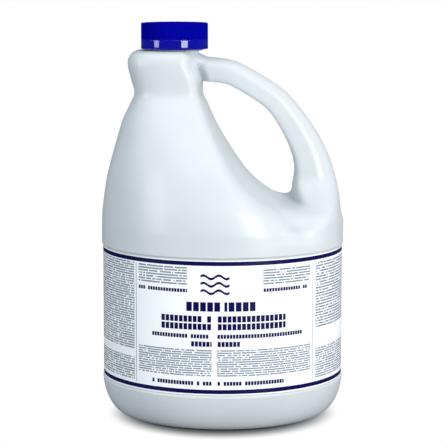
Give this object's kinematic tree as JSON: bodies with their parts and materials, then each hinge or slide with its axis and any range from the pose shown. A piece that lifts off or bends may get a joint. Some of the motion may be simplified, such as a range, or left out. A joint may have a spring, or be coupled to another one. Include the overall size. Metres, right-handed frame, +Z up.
{
  "type": "bleach bottle",
  "caption": "Round plastic jug with an offset neck, a hollow through handle, a wrap label and a ribbed screw cap; holds and pours household bleach.",
  "frame": {"origin": "middle of the foot ring, on the floor", "axes": "+Z up along the body's axis, -Y the front of the label, +X towards the handle"},
  "size_m": [0.1561, 0.156, 0.251],
  "materials": {
    "bottle": "satin natural-white HDPE",
    "label": "printed film, satin",
    "cap": "glossy deep blue",
    "liner": "white foam"
  },
  "bodies": {
    "bottle": {"bottle": "bottle", "label": "label"},
    "liner": {"liner": "liner"},
    "cap": {"cap": "cap"}
  },
  "joints": [
    {"name": "cap_rise", "type": "slide", "parent": "bottle", "child": "liner", "axis": [0, 0, 1], "range_m": [0, 0.017]},
    {"name": "cap_turn", "type": "hinge", "parent": "liner", "child": "cap", "pos_m": [-0.0307, 0, 0.24], "axis": [0, 0, 1], "range_deg": [0, 1440]}
  ],
  "couplings": [
    {"joint": "cap_rise", "follows": "cap_turn", "m_per_rad": 0.00067322}
  ]
}
